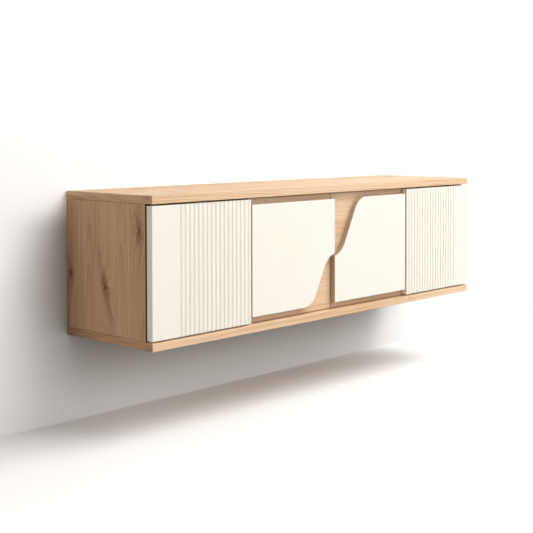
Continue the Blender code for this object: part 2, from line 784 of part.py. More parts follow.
LATCH_X = -DIVIDER_OUTER - JOINT_GAP - LATCH_FOOT_THICKNESS - LATCH_SIZE / 2
STRIKE_BACK = DOOR_BACK + JOINT_GAP + STRIKE_THICKNESS
PLUNGER_FRONT = STRIKE_BACK + JOINT_GAP
LATCH_FRONT = PLUNGER_FRONT + PLUNGER_TIP + PLUNGER_TRAVEL + LATCH_CLEARANCE
LATCH_FOOT_FRONT = LATCH_FRONT + (LATCH_LENGTH - LATCH_FOOT_WIDTH) / 2


def add_latch(side):
    """A push latch on the divider: housing, and the sprung plunger in its bore."""
    half = LATCH_SIZE / 2
    y_span = (LATCH_FRONT, LATCH_FRONT + LATCH_LENGTH)
    body = box((LATCH_X - half, LATCH_X + half), y_span, (LATCH_HEIGHT - half, LATCH_HEIGHT + half))
    housing = add_part(side + "_latch_housing", on_side(body, side), GREY_PLASTIC)
    soften_edges(housing, LATCH_EDGE, 2)
    foot = -DIVIDER_OUTER - JOINT_GAP
    plate = box(
        (foot - LATCH_FOOT_THICKNESS - LATCH_FOOT_OVERLAP, foot),
        (LATCH_FOOT_FRONT, LATCH_FOOT_FRONT + LATCH_FOOT_WIDTH),
        (LATCH_HEIGHT - LATCH_FOOT_LENGTH / 2, LATCH_HEIGHT + LATCH_FOOT_LENGTH / 2),
    )
    add_boolean(housing, on_side(plate, side), "foot", "UNION")
    centre = Vector((LATCH_X, LATCH_FRONT, LATCH_HEIGHT))
    bore = [(centre, (0, 1, 0), PLUNGER_RADIUS + JOINT_GAP, PLUNGER_LENGTH + PLUNGER_TRAVEL)]
    add_boolean(housing, on_side(drilled(bore, 16), side), "bore")
    y = LATCH_FOOT_FRONT + LATCH_FOOT_WIDTH / 2
    holes = [
        ((foot - LATCH_SIZE / 2, y, LATCH_HEIGHT + way), (1, 0, 0), SCREW_HOLE_RADIUS, LATCH_SIZE)
        for way in (-LATCH_SCREW_REACH, LATCH_SCREW_REACH)
    ]
    add_boolean(housing, on_side(drilled(holes), side), "screw_holes")
    stem_end = LATCH_FRONT - PLUNGER_FRONT + PLUNGER_LENGTH - JOINT_GAP - PLUNGER_TRAVEL
    profile = (
        (0, 0),
        (PLUNGER_TIP_RADIUS * 0.8, 0),
        (PLUNGER_TIP_RADIUS, -PLUNGER_TIP * 0.4),
        (PLUNGER_TIP_RADIUS, -PLUNGER_TIP),
        (PLUNGER_RADIUS, -PLUNGER_TIP),
        (PLUNGER_RADIUS, -stem_end),
        (0, -stem_end),
    )
    tip = Vector((LATCH_X, PLUNGER_FRONT, LATCH_HEIGHT))
    mirror = 1 if side == "left" else -1
    slide = add_empty(side + "_plunger_axis", (mirror * tip.x, tip.y, tip.z), DATUM)
    plunger = on_side(turned(profile, tip, (0, -1, 0), 16), side)
    add_part(side + "_latch_plunger", plunger, GREY_PLASTIC, slide)


def add_door_strike(side, axis):
    """The steel plate that the latch's plunger rests on."""
    half_length, half_width = STRIKE_LENGTH / 2, STRIKE_WIDTH / 2
    mesh = box(
        (LATCH_X - half_width, LATCH_X + half_width),
        (DOOR_BACK + JOINT_GAP, STRIKE_BACK),
        (LATCH_HEIGHT - half_length, LATCH_HEIGHT + half_length),
    )
    strike = add_part(side + "_door_strike", on_side(mesh, side), NICKEL, axis)
    holes = [
        ((LATCH_X, STRIKE_BACK, LATCH_HEIGHT + way), (0, -1, 0), SCREW_HOLE_RADIUS, STRIKE_THICKNESS * 2)
        for way in (-STRIKE_SCREW_REACH, STRIKE_SCREW_REACH)
    ]
    add_boolean(strike, on_side(drilled(holes), side), "screw_holes")


# Magnetic catch of the middle doors


CATCH_STRIKE_BACK = LEAF_BACK + JOINT_GAP + STRIKE_THICKNESS
MAGNET_FRONT = CATCH_STRIKE_BACK + JOINT_GAP
CATCH_FRONT = MAGNET_FRONT + MAGNET_PROUD
CATCH_TOP = INNER_TOP - JOINT_GAP
CATCH_MIDDLE = CATCH_TOP - CATCH_HEIGHT / 2


def add_catch():
    """A double magnetic catch under the top panel, where the two leaves meet."""
    under = CATCH_TOP - CATCH_HEIGHT
    y_span = (CATCH_FRONT, CATCH_FRONT + CATCH_DEPTH)
    body = box((-CATCH_WIDTH / 2, CATCH_WIDTH / 2), y_span, (under, CATCH_TOP))
    catch = soften_edges(add_part("middle_catch", body, GREY_PLASTIC), CATCH_EDGE, 1)
    pockets = []
    for side in ("left", "right"):
        z_span = (CATCH_MIDDLE - MAGNET_HEIGHT / 2, CATCH_MIDDLE + MAGNET_HEIGHT / 2)
        x_span = (-MAGNET_OFFSET - MAGNET_WIDTH / 2, -MAGNET_OFFSET + MAGNET_WIDTH / 2)
        magnet = box(x_span, (MAGNET_FRONT, MAGNET_FRONT + MAGNET_DEPTH), z_span)
        add_part(side + "_catch_magnet", on_side(magnet, side), MAGNET)
        pocket = box(
            (x_span[0] - JOINT_GAP, x_span[1] + JOINT_GAP),
            (CATCH_FRONT - OVERSHOOT, MAGNET_FRONT + MAGNET_DEPTH + JOINT_GAP),
            (z_span[0] - JOINT_GAP, z_span[1] + JOINT_GAP),
        )
        pockets.append(on_side(pocket, side))
    add_boolean(catch, joined(pockets), "magnet_pockets")
    holes = [
        ((x, sum(y_span) / 2, under), (0, 0, 1), SCREW_HOLE_RADIUS, CATCH_HEIGHT + OVERSHOOT)
        for x in (-CATCH_SCREW_REACH, CATCH_SCREW_REACH)
    ]
    add_boolean(catch, drilled(holes), "screw_holes")


def add_leaf_strike(name, side, axis):
    """The steel plate on a leaf's back that its magnet pulls on."""
    middle = -MAGNET_OFFSET - CATCH_STRIKE_SHIFT
    half, tall = CATCH_STRIKE_LENGTH / 2, CATCH_STRIKE_HEIGHT / 2
    x_span = (middle - half, middle + half)
    mesh = box(x_span, (LEAF_BACK + JOINT_GAP, CATCH_STRIKE_BACK), (CATCH_MIDDLE - tall, CATCH_MIDDLE + tall))
    strike = add_part(name, on_side(mesh, side), NICKEL, axis)
    holes = [
        ((middle + way, CATCH_STRIKE_BACK, CATCH_MIDDLE), (0, -1, 0), SCREW_HOLE_RADIUS, STRIKE_THICKNESS * 2)
        for way in (-CATCH_STRIKE_SCREW, CATCH_STRIKE_SCREW)
    ]
    add_boolean(strike, on_side(drilled(holes), side), "screw_holes")


# Doors


def door_axis(name, hinge, side):
    mirror = 1 if side == "left" else -1
    return add_empty(name, (mirror * hinge.pin.x, hinge.pin.y, 0), DATUM)


def fluted_outline(side):
    """Cross-section of a fluted door, drawn for the left: a plain strip, then the flutes."""
    outer = -HALF_WIDTH
    inner = -HALF_BAY - DOOR_INNER_CLEARANCE
    radius = (FLUTE_WIDTH ** 2 / 4 + FLUTE_DEPTH ** 2) / (2 * FLUTE_DEPTH)
    half_angle = math.asin(FLUTE_WIDTH / 2 / radius)
    chamfer = BOARD_EDGE
    room = inner - outer - FLUTE_EDGE - PLAIN_STRIP[side]
    count = int(room / FLUTE_PITCH[side]) + 1
    points = [(outer, FRONT + chamfer), (outer + chamfer, FRONT)]
    steps = 4
    for index in reversed(range(count)):
        centre = inner - FLUTE_EDGE - index * FLUTE_PITCH[side]
        for step in range(steps + 1):
            angle = half_angle * (2 * step / steps - 1)
            drop = radius * math.cos(angle) - (radius - FLUTE_DEPTH)
            points.append((centre + radius * math.sin(angle), FRONT + drop))
    points += [
        (inner - chamfer, FRONT),
        (inner, FRONT + chamfer),
        (inner, DOOR_BACK - chamfer),
        (inner - chamfer, DOOR_BACK),
        (outer + chamfer, DOOR_BACK),
        (outer, DOOR_BACK - chamfer),
    ]
    return points


def add_outer_door(side):
    axis = door_axis(side + "_door_axis", OUTER_HINGE, side)
    span = (INNER_BOTTOM + DOOR_GAP, INNER_TOP - DOOR_GAP)
    mesh = on_side(extruded([fluted_outline(side)], "Z", span), side)
    door = add_part(side + "_door", mesh, CREAM, axis)
    bores = [cup_bore(OUTER_HINGE, height) for height in HINGE_HEIGHTS.values()]
    add_boolean(door, on_side(drilled(bores, ROUND_STEPS), side), "cup_bores")
    add_door_hinges(side + "_door", OUTER_HINGE, side, axis)
    add_door_strike(side, axis)


def s_cut(height):
    """Half of the S, as offsets from its neck: a small arc, a steep straight and a level finish."""
    straight = height - NECK_RADIUS * (math.cos(NECK_ANGLE) - math.cos(STEEP_ANGLE))
    straight = (straight - FOOT_RADIUS * (1 - math.cos(STEEP_ANGLE))) / math.sin(STEEP_ANGLE)
    points = []
    steps = 8
    for index in range(steps + 1):
        angle = NECK_ANGLE + (STEEP_ANGLE - NECK_ANGLE) * index / steps
        x = NECK_RADIUS * (math.sin(angle) - math.sin(NECK_ANGLE))
        z = NECK_RADIUS * (math.cos(NECK_ANGLE) - math.cos(angle))
        points.append(Vector((x, z)))
    corner = points[-1] + straight * Vector((math.cos(STEEP_ANGLE), math.sin(STEEP_ANGLE)))
    for index in range(steps + 1):
        angle = STEEP_ANGLE * (1 - index / steps)
        x = FOOT_RADIUS * (math.sin(STEEP_ANGLE) - math.sin(angle))
        z = FOOT_RADIUS * (math.cos(angle) - math.cos(STEEP_ANGLE))
        points.append(corner + Vector((x, z)))
    return points


def plate_outline(side):
    """A front plate in (x, z): square on the hinge side, cut along half of the S at the middle."""
    low = INNER_BOTTOM + PLATE_MARGIN_BELOW
    high = INNER_TOP - PLATE_MARGIN_ABOVE
    hinge_edge = HALF_BAY - PLATE_SIDE_GAP
    neck = Vector((0, MIDDLE_HEIGHT - NECK_BELOW_MIDDLE[side]))
    if side == "left":
        curve = [neck - offset for offset in s_cut(neck.y - low)]
        return [(-hinge_edge, low), (-hinge_edge, high), (0, high)] + curve
    curve = [neck + offset for offset in s_cut(high - neck.y)]
    return [(hinge_edge, high), (hinge_edge, low), (0, low)] + curve


def add_middle_door(side):
    name = "middle_" + side
    axis = door_axis(name + "_door_axis", MIDDLE_HINGE, side)
    x_span = (-HALF_BAY + LEAF_SIDE_GAP, -LEAF_MEETING_GAP / 2)
    z_span = (INNER_BOTTOM + LEAF_GAP, INNER_TOP - LEAF_GAP)
    leaf_mesh = on_side(box(x_span, (LEAF_FRONT, LEAF_BACK), z_span), side)
    leaf = soften_edges(add_part(name + "_door_leaf", leaf_mesh, OAK, axis), segments=1)
    plate_mesh = extruded([plate_outline(side)], "Y", (PLATE_FRONT, LEAF_FRONT - JOINT_GAP))
    plate = soften_edges(add_part(name + "_front_plate", plate_mesh, CREAM, axis), segments=2)
    bores = [cup_bore(MIDDLE_HINGE, height) for height in HINGE_HEIGHTS.values()]
    for piece in (leaf, plate):
        add_boolean(piece, on_side(drilled(bores, ROUND_STEPS), side), "cup_bores")
    add_door_hinges(name + "_door", MIDDLE_HINGE, side, axis)
    add_leaf_strike(name + "_door_strike", side, axis)


# Assembly


def build_cabinet():
    add_cover("top_panel", (INNER_TOP, CABINET_HEIGHT))
    add_cover("bottom_panel", (0, INNER_BOTTOM))
    add_back_panel()
    add_rail("top_hanging_rail", (INNER_TOP - RAIL_HEIGHT, INNER_TOP - JOINT_GAP))
    add_rail("bottom_rail", (INNER_BOTTOM + JOINT_GAP, INNER_BOTTOM + RAIL_HEIGHT))
    for side in ("left", "right"):
        add_side_panel(side)
        add_divider(side)
        add_shelf(side)
        add_outer_door(side)
        add_middle_door(side)
        add_latch(side)
    add_catch()


build_cabinet()
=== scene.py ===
"""Looks of the wall cabinet: oak with its grain and knots, cream lacquer, hinge metal, and the small
fittings that the boards and hinges are held with, in front of a white wall."""

import json
import math

import bmesh
import bpy
from mathutils import Matrix, Vector

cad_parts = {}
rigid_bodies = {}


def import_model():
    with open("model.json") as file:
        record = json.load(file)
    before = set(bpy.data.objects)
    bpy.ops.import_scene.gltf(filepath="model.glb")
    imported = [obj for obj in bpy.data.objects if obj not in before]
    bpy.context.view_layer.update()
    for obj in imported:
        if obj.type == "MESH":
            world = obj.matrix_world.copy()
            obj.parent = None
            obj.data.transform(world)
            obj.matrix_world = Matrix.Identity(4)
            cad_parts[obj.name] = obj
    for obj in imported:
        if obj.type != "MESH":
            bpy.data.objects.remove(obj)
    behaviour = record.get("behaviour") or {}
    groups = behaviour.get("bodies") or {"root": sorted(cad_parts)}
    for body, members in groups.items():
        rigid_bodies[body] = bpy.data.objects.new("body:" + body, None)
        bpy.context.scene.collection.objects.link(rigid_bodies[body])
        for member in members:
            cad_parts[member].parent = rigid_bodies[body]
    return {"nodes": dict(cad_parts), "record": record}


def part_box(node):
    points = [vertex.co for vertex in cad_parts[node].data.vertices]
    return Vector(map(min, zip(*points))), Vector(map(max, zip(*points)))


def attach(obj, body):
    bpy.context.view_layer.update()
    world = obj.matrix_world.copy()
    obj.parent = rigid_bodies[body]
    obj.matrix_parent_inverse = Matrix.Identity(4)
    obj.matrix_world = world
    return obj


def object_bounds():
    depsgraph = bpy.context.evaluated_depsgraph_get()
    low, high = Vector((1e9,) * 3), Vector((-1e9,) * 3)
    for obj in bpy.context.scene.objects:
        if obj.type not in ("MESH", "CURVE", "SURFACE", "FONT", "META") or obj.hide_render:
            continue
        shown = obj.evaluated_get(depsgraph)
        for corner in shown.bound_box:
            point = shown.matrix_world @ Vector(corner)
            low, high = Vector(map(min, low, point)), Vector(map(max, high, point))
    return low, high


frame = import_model()
cad_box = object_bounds()
MM = 0.001


# Shader helpers


def linear(red, green, blue):
    """A colour as read off a screen, from 0 to 255, as the linear values that shaders take."""
    def convert(value):
        value /= 255
        return value / 12.92 if value <= 0.04045 else ((value + 0.055) / 1.055) ** 2.4
    return (convert(red), convert(green), convert(blue), 1.0)


class Nodes:
    """A node tree, with one call for each kind of node used here."""

    def __init__(self, tree):
        self.tree = tree

    def node(self, kind, inputs=(), **settings):
        node = self.tree.nodes.new(kind)
        for key, value in settings.items():
            setattr(node, key, value)
        for key, value in dict(inputs).items():
            self.feed(node.inputs[key], value)
        return node

    def feed(self, socket, value):
        if isinstance(value, bpy.types.NodeSocket):
            self.tree.links.new(value, socket)
        else:
            socket.default_value = value

    def math(self, operation, first, second=0.0, third=0.0):
        inputs = {0: first, 1: second}
        if operation == "MULTIPLY_ADD":
            inputs[2] = third
        return self.node("ShaderNodeMath", inputs, operation=operation).outputs[0]

    def add(self, first, second):
        return self.math("ADD", first, second)

    def times(self, first, second):
        return self.math("MULTIPLY", first, second)

    def larger(self, first, second):
        return self.math("MAXIMUM", first, second)

    def vector(self, x, y, z):
        return self.node("ShaderNodeCombineXYZ", {0: x, 1: y, 2: z}).outputs[0]

    def split(self, vector):
        return self.node("ShaderNodeSeparateXYZ", {0: vector}).outputs

    def vector_math(self, operation, first, second):
        return self.node("ShaderNodeVectorMath", {0: first, 1: second}, operation=operation).outputs[0]

    def noise(self, vector, scale=1.0, detail=2.0, roughness=0.5):
        inputs = {"Vector": vector, "Scale": scale, "Detail": detail, "Roughness": roughness}
        return self.node("ShaderNodeTexNoise", inputs).outputs["Fac"]

    def stretched_noise(self, vector, scales, detail=2.0, roughness=0.5):
        """Noise with its own scale along each axis."""
        return self.noise(self.vector_math("MULTIPLY", vector, scales), 1.0, detail, roughness)

    def remap(self, value, low, high, to_low=0.0, to_high=1.0, smooth=False):
        inputs = {"Value": value, "From Min": low, "From Max": high, "To Min": to_low, "To Max": to_high}
        kind = "SMOOTHSTEP" if smooth else "LINEAR"
        return self.node("ShaderNodeMapRange", inputs, interpolation_type=kind).outputs["Result"]

    def rim(self, distance, radius, shares):
        """Soft edge of a round mark: 0 outside, 1 inside, between two shares of its radius."""
        outer, inner = shares
        return self.remap(distance, radius * outer, radius * inner, smooth=True)

    def ramp(self, value, stops, interpolation="LINEAR"):
        node = self.node("ShaderNodeValToRGB", {0: value})
        elements = node.color_ramp.elements
        node.color_ramp.interpolation = interpolation
        while len(elements) < len(stops):
            elements.new(0.5)
        for element, (place, colour) in zip(elements, stops):
            element.position = place
            element.color = colour
        return node.outputs["Color"]

    def mix(self, amount, first, second, blend="MIX"):
        """Two colours mixed. They are sockets 6 and 7 of a Mix node, and its result is output 2."""
        node = self.node("ShaderNodeMix", data_type="RGBA", blend_type=blend)
        self.feed(node.inputs[0], amount)
        self.feed(node.inputs[6], first)
        self.feed(node.inputs[7], second)
        return node.outputs[2]

    def mix_vectors(self, amount, first, second):
        """Two vectors mixed. They are sockets 4 and 5 of a Mix node, and its result is output 1."""
        node = self.node("ShaderNodeMix", data_type="VECTOR")
        self.feed(node.inputs[0], amount)
        self.feed(node.inputs[4], first)
        self.feed(node.inputs[5], second)
        return node.outputs[1]

    def mix_shaders(self, amount, first, second):
        return self.node("ShaderNodeMixShader", {0: amount, 1: first, 2: second}).outputs[0]

    def light_path(self):
        return self.node("ShaderNodeLightPath").outputs


class Shader(Nodes):
    """A material and its node tree."""

    def __init__(self, name, roughness=0.5, metallic=0.0, specular=0.5):
        self.material = bpy.data.materials.new(name)
        self.material.use_nodes = True
        super().__init__(self.material.node_tree)
        self.bsdf = self.tree.nodes["Principled BSDF"]
        self.bsdf.inputs["Roughness"].default_value = roughness
        self.bsdf.inputs["Metallic"].default_value = metallic
        self.bsdf.inputs["Specular IOR Level"].default_value = specular

    def object_place(self):
        return self.node("ShaderNodeTexCoord").outputs["Object"]

    def object_normal(self):
        return self.split(self.node("ShaderNodeTexCoord").outputs["Normal"])

    def openness(self, distance, samples):
        """How much of the space around a point is free up to a distance, from 0 to 1."""
        inputs = {"Distance": distance}
        return self.node("ShaderNodeAmbientOcclusion", inputs, samples=samples).outputs["AO"]

    def darkened(self, colour, amount):
        grey = self.node("ShaderNodeCombineColor", {0: amount, 1: amount, 2: amount}).outputs[0]
        return self.mix(1.0, colour, grey, "MULTIPLY")

    def bump(self, height, strength, distance):
        inputs = {"Height": height, "Strength": strength, "Distance": distance}
        return self.node("ShaderNodeBump", inputs).outputs["Normal"]

    def finish(self, colour, roughness=None, normal=None):
        self.feed(self.bsdf.inputs["Base Color"], colour)
        if roughness is not None:
            self.feed(self.bsdf.inputs["Roughness"], roughness)
        if normal is not None:
            self.feed(self.bsdf.inputs["Normal"], normal)
        return self.material


# Oak


OAK_LIGHT = linear(240, 211, 179)
OAK_MID = linear(231, 194, 156)
OAK_DARK = linear(204, 162, 121)
OAK_DEEP = linear(168, 129, 93)
OAK_PORE = linear(146, 104, 70)
KNOT_HALO = linear(140, 96, 64)
KNOT_HEART = linear(92, 58, 40)
# the colour of painted shade on front edges hidden in the gaps beside the doors
GAP_SHADE_COLOUR = linear(84, 62, 46)
OAK_SHADES = ((0.0, OAK_LIGHT), (0.30, OAK_MID), (0.68, OAK_DARK), (1.0, OAK_DEEP))

# repeats per metre of each kind of mark, along, across and through the wood where they differ
WANDER = (2.6, 8.0, 8.0)
RING_DRIFT = (1.5, 7.0, 7.0)
RING_FADE = (1.8, 16.0, 16.0)
FIBRES = (9.0, 620.0, 620.0)
STREAKS = (3.2, 165.0, 165.0)
BANDS = (1.6, 60.0, 60.0)
PORES = (34.0, 1150.0, 1150.0)
CLOUDS = (1.4, 6.0, 6.0)
BROAD_BANDS = (0.8, 22.0, 22.0)
KNOT_RIM = (110.0, 260.0, 110.0)
KNOT_RIPPLE = 150.0

# how much each kind of mark darkens the wood, and how dark the plain wood between them is
RING_DEPTH = 0.27
STREAK_DEPTH = 0.78
FIBRE_DEPTH = 0.42
BAND_DEPTH = 0.36
CLOUD_DEPTH = 0.30
BROAD_DEPTH = 0.40
PLAIN_TONE = 0.14

# how much of their own colour pores, seams and knots have, and the noise from which pores begin
PORE_STRENGTH = 0.45
SEAM_STRENGTH = 0.45
HEART_STRENGTH = 0.8
PORE_RANGE = (0.58, 0.72)

# a face looks along an axis if its normal has more than this share of it
FACING = 0.7

# how far the grain wanders sideways, and the width of the seams between strips
WANDER_REACH = 14 * MM
SEAM_WIDTH = 0.5 * MM
OAK_ROUGHNESS = (0.46, 0.64)
OAK_RELIEF = 0.12 * MM

# how far another strip, and another board, lies along and across the tree, in metres
STRIP_LEAP = (5.3, 2.1)
BOARD_LEAP = (1.7, 0.9)

# shares of a knot's radius; a rim runs from where a mark begins to where it is full
HEART_RIM = (0.62, 0.18)
HALO_RIM = (1.9, 0.5)
TRAIL_RIM = (1.7, 0.0)
PUSH_REACH = 2.4
RIPPLE_DEPTH = 1.3

# knots are longer along the wood, and the dark fibres from them much longer
KNOT_SHRINK = 0.5
TRAIL_SHRINK = 0.13

# rings along a strip and in its arches, how far they drift, and layers across a long edge
ARCHES_PER_METRE = 190.0
RINGS_PER_METRE = 8.0
RING_DRIFTS = 9.0
LAYERS_PER_METRE = 170.0
RING_SHADES = tuple((place, (shade, shade, shade, 1)) for place, shade in (
    (0.0, 0.12), (0.30, 0.0), (0.66, 0.30), (0.90, 1.0), (1.0, 0.12),
))

# how far round a point the painted shades in a crease and on the outer ends look, and what they make of it
CREASE_REACH = 30 * MM
CREASE_OPENNESS = (0.45, 0.95)
CREASE_SHADE = (0.72, 1.0)
END_SHADE_REACH = 0.14
END_SHADE_HEIGHTS = (0.04, -0.25)
END_SHADE_STRENGTHS = (0.14, 0.68)


def wood_place(s, grain, ends, lip_from):
    """Where a point lies along, across and through the wood, and masks of the board's two banded
    ends and of its long edges, which show the wood from its side."""
    axes = dict(zip("xyz", s.split(s.object_place())))
    normals = dict(zip("xyz", s.object_normal()))
    on_end = s.math("GREATER_THAN", s.math("ABSOLUTE", normals[grain[0]]), FACING)
    on_edge = s.math("GREATER_THAN", s.math("ABSOLUTE", normals[grain[1]]), FACING)
    face = s.vector(*(axes[letter] for letter in grain))
    lip = s.vector(s.add(axes[grain[0]], lip_from), axes[grain[2]], axes[grain[1]])
    band = s.vector(*(axes[letter] for letter in ends))
    return s.mix_vectors(on_end, s.mix_vectors(on_edge, face, lip), band), on_end, on_edge


def knot_marks(s, place, knots):
    """How far the knots push the grain aside, their hearts, the halos round them and the dark
    fibres that trail from them. A knot is its place along and across the wood, its radius, its push
    and its lean."""
    along, across, _ = s.split(place)
    ripple = s.add(s.noise(place, KNOT_RIPPLE, 3.0), -0.5)
    push_aside = heart = halo = trail = 0.0
    for knot_along, knot_across, radius, push, lean in knots:
        run = s.add(along, -knot_along)
        side = s.add(s.add(across, -knot_across), s.times(run, -lean))
        side_square = s.math("POWER", side, 2.0)
        square = s.add(s.math("POWER", s.times(run, KNOT_SHRINK), 2.0), side_square)
        distance = s.add(s.math("SQRT", square), s.times(ripple, radius * RIPPLE_DEPTH))
        spread = s.math("POWER", math.e, s.times(square, -1.0 / (radius * PUSH_REACH) ** 2))
        push_aside = s.add(s.times(spread, push), push_aside)
        heart = s.larger(s.rim(distance, radius, HEART_RIM), heart)
        halo = s.larger(s.rim(distance, radius, HALO_RIM), halo)
        far = s.math("SQRT", s.add(s.math("POWER", s.times(run, TRAIL_SHRINK), 2.0), side_square))
        trail = s.larger(s.rim(far, radius, TRAIL_RIM), trail)
    return push_aside, heart, halo, trail


def growth_rings(s, place, height, across, arches, on_edge):
    """Dark rings: arches in the middle of each strip, straight lines at its sides, and straight
    layers on the long edges."""
    drift = s.stretched_noise(place, RING_DRIFT, 2.0, 0.45)
    rings = s.add(s.add(arches, s.times(height, RINGS_PER_METRE)), s.times(drift, RING_DRIFTS))
    rings = s.add(rings, s.times(on_edge, s.times(across, LAYERS_PER_METRE)))
    ring = s.ramp(s.math("FRACT", rings), RING_SHADES, "EASE")
    fade = s.stretched_noise(place, RING_FADE)
    return s.times(ring, s.remap(fade, 0.32, 0.66, 0.35, 1.0))


def end_shade(s):
    """The shade that the wall lays on the cabinet's outer ends, stronger lower down."""
    x, _, height = s.split(s.object_place())
    outer = s.math("GREATER_THAN", s.math("ABSOLUTE", x), cad_box[1][0] - MM)
    strength = s.times(outer, s.remap(height, *END_SHADE_HEIGHTS, *END_SHADE_STRENGTHS))
    closed = s.add(s.openness(END_SHADE_REACH, 8), -1.0)
    return s.math("MULTIPLY_ADD", closed, strength, 1.0)


def oak(name, grain, ends, seed, stave, stave_offset, knots=(), tone_and_shade=0.0, figure=1.0, seam=1.0,
        painted_end_shade=0.0, contrast=1.0, strips=0.24, lip_from=0.0, gap_shade=0.0, shaded_creases=False,
        wall_shade=False):
    """Oak veneer. grain and ends name the axes along, across and through the wood, on the board's
    faces and on its two banded ends; stave is the width of the strips it is laid from, and
    lip_from is where along the tree the strip on the long edges begins. A board may be darkened
    all over, partly as its own colour and partly as painted shade. Painted shade also darkens the
    banded ends, a front edge hidden in the gap beside a door, the wood in each crease, and with
    wall_shade the cabinet's outer ends towards the wall."""
    s = Shader(name, roughness=0.5, specular=0.35)
    place, on_end, on_edge = wood_place(s, grain, ends, lip_from)
    along, across, through = s.split(place)
    push_aside, heart, halo, trail = knot_marks(s, place, knots) if knots else (0.0,) * 4

    # each strip comes from another part of the tree
    steps = s.math("DIVIDE", s.add(across, stave_offset), stave)
    seeded = s.add(s.math("FLOOR", steps), seed)
    value = s.node("ShaderNodeTexWhiteNoise", {"W": seeded}, noise_dimensions="1D").outputs["Value"]
    leaps = [s.add(s.times(value, strip), seed * board) for strip, board in zip(STRIP_LEAP, BOARD_LEAP)]
    offset = s.vector(*leaps, value)
    within = s.add(s.math("FRACT", steps), -0.5)
    joint = s.remap(s.math("ABSOLUTE", within), 0.5 - SEAM_WIDTH / stave, 0.5, smooth=True)
    on_face = s.math("SUBTRACT", 1.0, s.larger(on_end, on_edge))
    joint = s.times(joint, s.times(on_face, seam))

    wander = s.stretched_noise(place, WANDER, 2.5)
    shift = s.add(s.times(s.add(wander, -0.5), WANDER_REACH), push_aside)
    across = s.add(across, shift)
    place = s.vector_math("ADD", s.vector(along, across, through), offset)
    from_heart = s.add(s.add(within, s.times(s.add(value, -0.5), 0.5)), s.math("DIVIDE", shift, stave))
    arches = s.times(s.math("POWER", from_heart, 2.0), ARCHES_PER_METRE * stave * figure)
    ring = growth_rings(s, place, s.add(along, value), across, arches, on_edge)

    fibre = s.stretched_noise(place, FIBRES, 3.0, 0.65)
    streak = s.stretched_noise(place, STREAKS, 3.0, 0.65)
    depth = s.times(ring, RING_DEPTH)
    for mark, weight in (
        (streak, STREAK_DEPTH),
        (fibre, FIBRE_DEPTH),
        (s.stretched_noise(place, BANDS), BAND_DEPTH),
        (s.stretched_noise(place, CLOUDS), CLOUD_DEPTH),
        (s.stretched_noise(place, BROAD_BANDS, 2.0, 0.6), BROAD_DEPTH),
    ):
        depth = s.add(depth, s.times(s.add(mark, -0.5), weight))
    strip_tone = s.times(s.add(value, -0.5), strips)
    depth = s.add(s.times(depth, contrast), strip_tone)
    # painted shade darkens the banded ends; a board darkened all over is partly its own colour and partly
    # painted shade
    depth = s.add(depth, s.add(s.times(on_end, painted_end_shade), PLAIN_TONE + tone_and_shade))
    if knots:
        depth = s.add(depth, s.times(trail, s.remap(streak, 0.30, 0.62, 0.06, 0.42)))

    pores = s.remap(s.stretched_noise(place, PORES, 1.5), *PORE_RANGE, smooth=True)
    pores = s.times(pores, s.add(s.times(ring, 0.6), 0.4))
    colour = s.ramp(depth, OAK_SHADES)
    colour = s.mix(s.times(pores, PORE_STRENGTH), colour, OAK_PORE)
    colour = s.mix(s.times(joint, SEAM_STRENGTH), colour, OAK_PORE)
    if knots:
        rim = s.remap(s.stretched_noise(place, KNOT_RIM, 3.0), 0.38, 0.60, 0.15, 0.9)
        colour = s.mix(s.times(halo, rim), colour, KNOT_HALO)
        colour = s.mix(s.times(heart, HEART_STRENGTH), colour, KNOT_HEART)
    # painted shade: a front edge hidden in the gap beside a door is darkened as that gap would shade it
    if gap_shade:
        front = s.math("LESS_THAN", s.object_normal()[1], -FACING)
        colour = s.mix(s.times(front, gap_shade), colour, GAP_SHADE_COLOUR)
    # painted shade: the wood in a crease is darkened by how closed in it is
    if shaded_creases:
        shade = s.remap(s.openness(CREASE_REACH, 8), *CREASE_OPENNESS, *CREASE_SHADE)
        colour = s.darkened(colour, shade)
    if wall_shade:
        colour = s.darkened(colour, end_shade(s))

    roughness = s.remap(s.add(fibre, s.times(pores, 0.4)), 0.2, 1.0, *OAK_ROUGHNESS)
    relief = s.math("SUBTRACT", s.times(fibre, 0.25), s.add(s.times(pores, 0.6), joint))
    return s.finish(colour, roughness, s.bump(relief, 0.35, OAK_RELIEF))


# Other finishes


CREAM_LIGHT = linear(251, 246, 235)
CREAM_DARK = linear(248, 242, 229)
# painted shade for the front plates' edges, warm as if lit by light thrown back from the oak
PLATE_EDGE_SHADE_LIGHT = linear(198, 174, 150)
PLATE_EDGE_SHADE_DARK = linear(190, 165, 140)

# repeats per metre
EDGE_SHADE_NOISE = (700.0, 90.0, 700.0)
CLOUDING = 6.0
SPRAY = 900.0
ORANGE_PEEL = 160.0
BRUSHING = 900.0
STAINS = 60.0
SPARK_GRAIN = 1400.0
MOTTLING = 40.0
SPECKS = 2200.0


